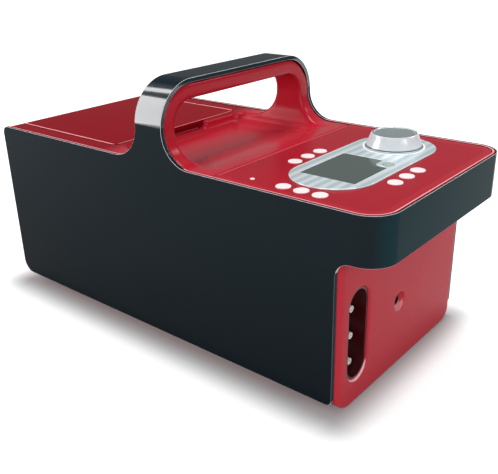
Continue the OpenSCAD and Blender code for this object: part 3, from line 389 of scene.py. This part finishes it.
def lining(co):
    """How soft the red cover is: the grip's lining and the valley, and nothing at its outer rim."""
    inside = min(1.0, max(0.0, (0.0925 - abs(co.y)) / 0.004))
    valley = min(1.0, max(0.0, (0.0575 - co.x) / 0.004)) * min(1.0, max(0.0, (co.x + 0.0625) / 0.004))
    above = min(1.0, max(0.0, (co.z - 0.146) / 0.006))
    return inside * valley * above


melted("top_cover", "top_moulding", "housing", red_abs, MELT, 34, lining)

# ---- Lid of the ice box ----
# A red shell over a block of foam and a white liner, with a rubber gasket below. It swings on two
# pins at the rear edge and has a groove for the fingertips in its front edge.
# Painted shade: the lid's red is darker than the cover's, like the rim round it.
lid_red = moulding("lid_red", (0.200, 0.003, 0.008, 1), 0.24, ior=1.06, pits=1300.0, depth=0.000016)
lid_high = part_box("lid")[1]


def lid_highlight(place, facing, step, blend):
    """A painted highlight: a pale line along the lid's two sides and its front."""
    side = step(place[1], lid_high.y - 0.0018, lid_high.y - 0.0014, True)
    front = blend("MULTIPLY", step(place[0], lid_high.x - 0.0018, lid_high.x - 0.0014), 0.45)
    return blend("MULTIPLY", blend("MAXIMUM", side, front), step(facing[2], 0.3, 0.6))


# Painted highlight: a pale pink line along the lid's edges.
tinted(lid_red, mask_group("lid_highlight", lid_highlight), HIGHLIGHT_PINK)
foam_cream = moulding("foam_cream", (0.80, 0.76, 0.66, 1), 0.85, pits=700.0, depth=0.0002, tint=0.15)
white_pp = moulding("white_polypropylene", (0.74, 0.76, 0.77, 1), 0.42, pits=1200.0, depth=0.00002)
gasket_rubber = moulding("gasket_rubber", (0.022, 0.022, 0.024, 1), 0.62, pits=2200.0, depth=0.00003)
soft_edges("lid", "lid_shell", "ice_lid", lid_red, 0.0010)
wear_on("lid_foam", foam_cream)
wear_on("lid_liner", white_pp)
wear_on("lid_gasket", gasket_rubber)
wear_on("ice_box", white_pp)
wear_on("foam_jacket", foam_cream)

# ---- Control deck and its film ----
# The red deck carries a thin satin film with round windows for the keys.
film_red = moulding("film_red", (0.315, 0.010, 0.020, 1), 0.26, ior=1.16, pits=2600.0, depth=0.000006,
                    tint=0.05)
deck_red = moulding("deck_red", (0.36, 0.010, 0.022, 1), 0.22, ior=1.22, pits=1300.0, depth=0.000014,
                    tint=0.06)
film_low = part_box("overlay")[0]


def seam_highlight(place, facing, step, blend):
    """A painted highlight: a pale line along the film's rear edge, at the seam."""
    behind = blend("SUBTRACT", 1, step(place[0], film_low.x + 0.0008, film_low.x + 0.0012))
    return blend("MULTIPLY", behind, step(facing[2], 0.3, 0.6))


# Painted highlight: a pale line along the film's rear edge.
tinted(film_red, mask_group("seam_highlight", seam_highlight), (0.56, 0.08, 0.10, 1))
soft_edges("control_deck", "deck_shell", "housing", deck_red, 0.0012)
soft_edges("overlay", "deck_film", "housing", film_red, 0.0002, segments=2)

# ---- Bezel round the display and the knob ----
# A silver plate with half-round ends, printed with soft bars that run across the machine.
BAR_PITCH = 0.0086


def silver_print():
    """Silver lacquer with broad soft bars of a darker silver."""
    finish = moulding("silver_print", (0.62, 0.68, 0.70, 1), 0.30, ior=1.5, pits=2400.0, depth=0.000008,
                      tint=0.05, metal=0.35)
    tree = finish.node_tree
    skin = tree.nodes["Principled BSDF"]
    place, bars = tree.nodes.new("ShaderNodeTexCoord"), tree.nodes.new("ShaderNodeTexWave")
    bars.inputs["Scale"].default_value = 2 * pi / (20 * BAR_PITCH)
    bars.inputs["Distortion"].default_value = 1.2
    bars.inputs["Detail"].default_value = 1.0
    bars.inputs["Detail Scale"].default_value = 0.6
    tone = tree.nodes.new("ShaderNodeValToRGB")
    tone.color_ramp.elements[0].position = 0.35
    tone.color_ramp.elements[0].color = (0.45, 0.54, 0.56, 1)
    tone.color_ramp.elements[1].position = 0.65
    tone.color_ramp.elements[1].color = (0.64, 0.71, 0.73, 1)
    tree.links.new(place.outputs["Object"], bars.inputs["Vector"])
    tree.links.new(bars.outputs["Fac"], tone.inputs["Fac"])
    grain = next(n for n in tree.nodes if n.type == "GROUP")
    tree.links.new(tone.outputs["Color"], grain.inputs["Colour"])
    return finish


bezel_silver = silver_print()
# Painted highlight: a near-white line on the bezel's broken edges.
tinted(bezel_silver, edge_highlight_mask, (0.95, 0.97, 0.98, 1))
soft_edges("display_bezel", "bezel_plate", "housing", bezel_silver, 0.0006)
window_glass = moulding("window_glass", (0.060, 0.078, 0.070, 1), 0.12, ior=1.4, drift=0.03, pits=400.0,
                        depth=0.000002, tint=0.12)
soft_edges("display_window", "window_pane", "housing", window_glass, 0.0002, segments=2)
wear_on("display_module", moulding("display_cell", (0.10, 0.13, 0.11, 1), 0.35))

# ---- Knob ----
# Turned aluminium: a flat brushed top, a chamfer, a cone and a small foot, over a clear skirt ring.
KNOB_X, KNOB_Y = 0.1325, 0.049
knob_low, knob_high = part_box("knob")


def turned(name, profile, centre, steps):
    """A piece turned on the lathe: its profile, as (radius, height), spun round an upright axis."""
    bpy.ops.object.select_all(action="DESELECT")
    bpy.ops.mesh.primitive_plane_add(size=0.01)
    piece = bpy.context.object
    piece.name = name
    bpy.ops.object.mode_set(mode="EDIT")
    bpy.ops.mesh.delete(type="VERT")
    bpy.ops.object.mode_set(mode="OBJECT")
    piece.data.vertices.add(len(profile))
    for vertex, (radius, height) in zip(piece.data.vertices, profile):
        vertex.co = (centre[0] + radius, centre[1], height)
    piece.data.edges.add(len(profile) - 1)
    for i, edge in enumerate(piece.data.edges):
        edge.vertices = (i, i + 1)
    piece.data.update()
    piece.matrix_world = Matrix.Identity(4)
    alone(piece)
    bpy.ops.object.mode_set(mode="EDIT")
    bpy.ops.mesh.select_all(action="SELECT")
    bpy.ops.mesh.spin(steps=steps, angle=2 * pi, center=(centre[0], centre[1], 0), axis=(0, 0, 1))
    bpy.ops.mesh.select_all(action="SELECT")
    bpy.ops.mesh.remove_doubles(threshold=2e-6)
    bpy.ops.mesh.normals_make_consistent(inside=False)
    bpy.ops.object.mode_set(mode="OBJECT")
    return piece


def brushed_metal(name, colour, gloss, centre, ring_scale):
    """Metal with the fine rings that a lathe tool leaves, round the piece's own axis."""
    finish = moulding(name, colour, gloss, ior=1.5, metal=0.30, drift=0.06, pits=2500.0, depth=0.000004,
                      tint=0.04)
    tree = finish.node_tree
    place, about = tree.nodes.new("ShaderNodeTexCoord"), tree.nodes.new("ShaderNodeMapping")
    about.inputs["Location"].default_value = (-centre[0], -centre[1], 0)
    rings = tree.nodes.new("ShaderNodeTexWave")
    rings.wave_type = "RINGS"
    rings.rings_direction = "Z"
    rings.inputs["Scale"].default_value = ring_scale
    rings.inputs["Distortion"].default_value = 3.0
    rings.inputs["Detail"].default_value = 3.0
    rings.inputs["Detail Scale"].default_value = 2.0
    bump = tree.nodes.new("ShaderNodeBump")
    bump.inputs["Distance"].default_value = 0.000012
    tree.links.new(place.outputs["Object"], about.inputs["Vector"])
    tree.links.new(about.outputs["Vector"], rings.inputs["Vector"])
    tree.links.new(rings.outputs["Fac"], bump.inputs["Height"])
    grain_bump = next(n for n in tree.nodes if n.type == "BUMP" and n != bump)
    tree.links.new(bump.outputs["Normal"], grain_bump.inputs["Normal"])
    return finish


def knob_piece():
    low, high = knob_low.z, knob_high.z
    rim, foot = 0.0188, 0.0233
    profile = [(0.0, low), (foot - 0.0006, low), (foot, low + 0.0005), (foot, low + 0.0012),
               (foot - 0.0004, low + 0.0017), (foot - 0.0009, low + 0.0022), (rim + 0.0004, high - 0.0016),
               (rim, high - 0.0008), (rim - 0.0006, high - 0.0002), (rim - 0.0013, high),
               (rim - 0.0022, high), (rim - 0.0026, high - 0.0004), (0.004, high - 0.0004),
               (0.0, high - 0.0004)]
    piece = turned("knob_cap", profile, (KNOB_X, KNOB_Y), 120)
    alone(piece)
    bpy.ops.object.shade_smooth_by_angle(angle=radians(24))
    return piece


knob_metal = brushed_metal("turned_aluminium", (0.76, 0.80, 0.83, 1), 0.26, (KNOB_X, KNOB_Y), 260.0)


def flat_top(place, facing, step, blend):
    return blend("MULTIPLY", step(facing[2], 0.95, 0.99), step(place[2], 0.1700, 0.1710))


def foot_shadow_line(place, facing, step, blend):
    """A painted shadow line above the knob's foot."""
    return blend("MULTIPLY", step(place[2], knob_low.z + 0.0009, knob_low.z + 0.0012),
                 blend("SUBTRACT", 1, step(place[2], knob_low.z + 0.0019, knob_low.z + 0.0022)))


# Painted reflection: the knob's flat top is a darker grey than its turned sides.
tinted(knob_metal, mask_group("flat_top", flat_top), (0.23, 0.27, 0.27, 1))
# Painted shadow: a dark line above the knob's foot.
tinted(knob_metal, mask_group("foot_shadow_line", foot_shadow_line), (0.14, 0.17, 0.20, 1))
fit(knob_piece(), "knob", "turn_knob", knob_metal)
skirt_clear = moulding("clear_skirt", (0.86, 0.90, 0.92, 1), 0.10, ior=1.46, pits=900.0, depth=0.000004)
wear_on("knob_ring", skirt_clear)
steel = moulding("zinc_steel", (0.62, 0.63, 0.64, 1), 0.32, metal=1.0, pits=2600.0, depth=0.000006)
wear_on("knob_shaft", steel)

# ---- Keys ----
# Nine white silicone keys and one grey one, each with a crowned top, and a small lamp lens.
key_white = moulding("key_white", (0.86, 0.68, 0.68, 1), 0.42, ior=1.4, pits=1800.0, depth=0.00001)
key_grey = moulding("key_grey", (0.30, 0.36, 0.34, 1), 0.40, ior=1.4, pits=1800.0, depth=0.00001)
for number in range(1, 10):
    soft_edges(f"key_{number}", f"key_cap_{number}", f"key_{number}_cap", key_white, 0.0004)
soft_edges("start_key", "start_key_top", "start_key_cap", key_grey, 0.0004)
wear_on("lamp_lens", key_white)

# ---- Tub and front cover ----
# The red lower housing: the tub behind, the front cover before it with the lip of the hose pocket.
POCKET_Y, POCKET_Z, POCKET_STRAIGHT = -0.0675, 0.0585, 0.0245
SOCKET_Y, SOCKET_Z = -0.0065, 0.0595
low_red = moulding("housing_red", (0.50, 0.032, 0.048, 1), 0.25, ior=1.13, pits=1300.0, depth=0.000016)
wear_on("tub", low_red)


def pocket_lip(co):
    """The front cover runs soft round the mouth of the hose pocket only."""
    return 1.0 if co.y < -0.046 and 0.012 < co.z < 0.105 and co.x > 0.146 else 0.0


def lip_highlight(place, facing, step, blend):
    """A painted highlight on the lips of the pocket and of the socket's dish, where they face up."""
    lift = blend("ABSOLUTE", blend("SUBTRACT", place[2], POCKET_Z), 0)
    over = blend("MAXIMUM", blend("SUBTRACT", lift, POCKET_STRAIGHT), 0)
    out = blend("SUBTRACT", place[1], POCKET_Y)
    slot = blend("POWER", blend("ADD", blend("MULTIPLY", over, over), blend("MULTIPLY", out, out)), 0.5)
    high, wide = blend("SUBTRACT", place[2], SOCKET_Z), blend("SUBTRACT", place[1], SOCKET_Y)
    dish = blend("POWER", blend("ADD", blend("MULTIPLY", high, high), blend("MULTIPLY", wide, wide)), 0.5)
    near_slot = blend("SUBTRACT", 1, step(slot, 0.0155, 0.0165))
    near_dish = blend("SUBTRACT", 1, step(dish, 0.0085, 0.0090))
    up = blend("MULTIPLY", step(facing[2], 0.12, 0.45), step(facing[0], 0.10, 0.35))
    return blend("MULTIPLY", blend("MAXIMUM", near_slot, blend("MULTIPLY", near_dish, 0.45)), up)


# Painted highlight: pale pink on the up-facing lips of the pocket and the socket's dish.
tinted(low_red, mask_group("lip_highlight", lip_highlight), (0.95, 0.50, 0.52, 1))
melted("front_cover", "front_moulding", "housing", low_red, 0.0009, 14, pocket_lip)

# ---- Hose pocket, nozzles and power socket ----
# A red cup, darkened to near black as painted shade in the recess, holds three turned nozzles in rubber
# seals. The socket sits in a round dish.
pocket_shade_red = moulding("pocket_shade_red", (0.060, 0.003, 0.005, 1), 0.34, ior=1.35, pits=1300.0, depth=0.000016)
# Painted highlight: the nozzles take a near-white plain colour for the glints of their plated metal.
glint_white_plating = moulding("glint_white_plating", (0.97, 0.97, 0.97, 1), 0.30, ior=1.9, pits=2600.0, depth=0.000004)
soft_edges("hose_nozzles", "nozzle_set", "housing", glint_white_plating, 0.0003, segments=2)
wear_on("hose_pocket", pocket_shade_red)
wear_on("nozzle_seals", gasket_rubber)
socket_black = moulding("socket_black", (0.014, 0.014, 0.015, 1), 0.36)
soft_edges("power_socket", "socket_body", "housing", socket_black, 0.0003, segments=2)
gilt = moulding("gilt_pin", (0.80, 0.58, 0.26, 1), 0.22, metal=1.0, pits=2600.0, depth=0.000003)
wear_on("socket_pin", gilt)

# ---- Feet, screws and pins ----
# Rubber pads stuck into shallow seats, and zinc-plated screws up through the floor.
wear_on("feet", gasket_rubber)
for fastener in ("housing_screws", "board_screws", "shelf_screws", "hinge_pins"):
    wear_on(fastener, steel)

# ---- Works inside ----
# Boards, pumps, valve and tubes, seen only with the machine apart.
board_green = moulding("board_green", (0.02, 0.13, 0.06, 1), 0.38, pits=1100.0, depth=0.00003, tint=0.3)
part_black = moulding("part_black", (0.02, 0.02, 0.022, 1), 0.42)
silicone = moulding("silicone_tube", (0.72, 0.76, 0.76, 1), 0.30, ior=1.41, clear=0.6)
for node, finish in (("key_mat", gasket_rubber), ("key_board", board_green), ("main_board", board_green),
                     ("board_parts", part_black), ("encoder", steel), ("water_pump", part_black),
                     ("air_pump", part_black), ("air_valve", white_pp), ("suction_tube", silicone),
                     ("supply_tube", silicone), ("return_tube", silicone), ("air_tube", silicone),
                     ("filter_screen", part_black)):
    wear_on(node, finish)

# ---- Studio ----
# A pale floor, a large soft lamp above, strips for the long highlights, and the camera.
camera = bpy.data.objects.new("camera", bpy.data.cameras.new("camera"))
bpy.context.scene.collection.objects.link(camera)
camera.data.lens = 49.81
camera.data.sensor_width = 36
CAMERA_PLACE = (0.3926, -0.4468, 0.3234)
HEADING, TILT, ROLL = radians(40.099), radians(66.65), radians(-1.406)
turn = Matrix.Rotation(HEADING, 4, "Z") @ Matrix.Rotation(TILT, 4, "X") @ Matrix.Rotation(ROLL, 4, "Z")
camera.matrix_world = Matrix.Translation(CAMERA_PLACE) @ turn
bpy.context.scene.camera = camera

bpy.ops.object.select_all(action="DESELECT")
bpy.ops.mesh.primitive_plane_add(size=8, location=(0, 0, 0))
floor = bpy.context.object
floor.name = "floor"
paper = bpy.data.materials.new("paper_floor")
paper.use_nodes = True
tree = paper.node_tree
tree.nodes["Principled BSDF"].inputs["Base Color"].default_value = (0.46, 0.46, 0.46, 1)
tree.nodes["Principled BSDF"].inputs["Roughness"].default_value = 0.9
tree.nodes["Principled BSDF"].inputs["IOR"].default_value = 1.1
path, lift, both = (tree.nodes.new("ShaderNodeLightPath"), tree.nodes.new("ShaderNodeEmission"),
                    tree.nodes.new("ShaderNodeAddShader"))
seen, seen_all, level = (tree.nodes.new("ShaderNodeMath"), tree.nodes.new("ShaderNodeMath"),
                         tree.nodes.new("ShaderNodeMath"))
seen.operation = seen_all.operation = "MAXIMUM"
level.operation = "MULTIPLY"
spot, beside, clear, away = (tree.nodes.new("ShaderNodeTexCoord"), tree.nodes.new("ShaderNodeVectorMath"),
                             tree.nodes.new("ShaderNodeVectorMath"), tree.nodes.new("ShaderNodeVectorMath"))
middle, fold, glow = (tree.nodes.new("ShaderNodeVectorMath"), tree.nodes.new("ShaderNodeVectorMath"),
                      tree.nodes.new("ShaderNodeMath"))
# How far a point of the floor lies outside the machine's plan. The glow is held back close to it,
# which shapes the close shadow. It reaches 1 at the most, and does not follow the lid.
middle.operation, fold.operation, beside.operation = "ADD", "ABSOLUTE", "SUBTRACT"
clear.operation, away.operation, glow.operation = "MAXIMUM", "LENGTH", "ADD"
PLAN_SHIFT, PLAN_HALF = (0.0155, 0, 0), (0.1895, 0.0965, 0)
middle.inputs[1].default_value = PLAN_SHIFT
beside.inputs[1].default_value = PLAN_HALF
tree.links.new(spot.outputs["Object"], middle.inputs[0])
tree.links.new(middle.outputs["Vector"], fold.inputs[0])
tree.links.new(fold.outputs["Vector"], beside.inputs[0])
tree.links.new(beside.outputs["Vector"], clear.inputs[0])
tree.links.new(clear.outputs["Vector"], away.inputs[0])
near, far = tree.nodes.new("ShaderNodeMapRange"), tree.nodes.new("ShaderNodeMapRange")
for sweep, limits in ((near, (-0.002, 0.032, 0.05, 0.72)), (far, (0.10, 0.85, 0.0, 0.28))):
    sweep.interpolation_type = "SMOOTHSTEP"
    for label, value in zip(("From Min", "From Max", "To Min", "To Max"), limits):
        sweep.inputs[label].default_value = value
    tree.links.new(away.outputs["Value"], sweep.inputs["Value"])
tree.links.new(near.outputs["Result"], glow.inputs[0])
tree.links.new(far.outputs["Result"], glow.inputs[1])
tree.links.new(glow.outputs[0], level.inputs[1])
tree.links.new(path.outputs["Is Camera Ray"], seen.inputs[0])
tree.links.new(path.outputs["Is Glossy Ray"], seen.inputs[1])
tree.links.new(seen.outputs[0], seen_all.inputs[0])
tree.links.new(path.outputs["Is Transmission Ray"], seen_all.inputs[1])
tree.links.new(seen_all.outputs[0], level.inputs[0])
tree.links.new(level.outputs[0], lift.inputs["Strength"])
tree.links.new(tree.nodes["Principled BSDF"].outputs[0], both.inputs[0])
tree.links.new(lift.outputs[0], both.inputs[1])
tree.links.new(both.outputs[0], tree.nodes["Material Output"].inputs["Surface"])
floor.data.materials.append(paper)


def softbox(name, place, target, width, height, watts, roll=0):
    """A flat lamp at a place, aimed at a target."""
    lamp = bpy.data.objects.new(name, bpy.data.lights.new(name, "AREA"))
    bpy.context.scene.collection.objects.link(lamp)
    lamp.data.shape = "RECTANGLE"
    lamp.data.size, lamp.data.size_y = width, height
    lamp.data.energy = watts
    aim = Vector(target) - Vector(place)
    lamp.matrix_world = Matrix.Translation(place) @ aim.to_track_quat("-Z", "Y").to_matrix().to_4x4()
    lamp.matrix_world = lamp.matrix_world @ Matrix.Rotation(radians(roll), 4, "Z")


softbox("top_box", (-0.02, 0.26, 1.30), (0.05, 0, 0.1), 0.7, 0.6, 13.0)
softbox("strap_box", (-0.94, -0.72, 0.57), (0, -0.10, 0.21), 0.44, 1.08, 8.0, roll=25.7)
softbox("left_edge_box", (-0.936, -0.11, 1.12), (0, -0.08, 0.22), 0.20, 0.30, 0.9)
softbox("leg_strip", (0.30, -1.25, 0.45), (0, 0.09, 0.19), 0.10, 0.50, 3.2)
softbox("far_edge_box", (0.72, 1.02, 1.06), (0.10, 0, 0.16), 0.26, 0.26, 2.4)
softbox("front_box", (1.20, -0.20, 0.50), (0.18, 0, 0.07), 0.4, 0.4, 3.4)
softbox("camera_fill", (1.10, -1.15, 0.45), (0.10, 0, 0.15), 1.5, 0.7, 4.5)
world = bpy.data.worlds.new("studio")
bpy.context.scene.world = world
world.use_nodes = True
world.node_tree.nodes["Background"].inputs["Color"].default_value = (0.25, 0.26, 0.27, 1)
bpy.context.scene.view_settings.view_transform = "Standard"
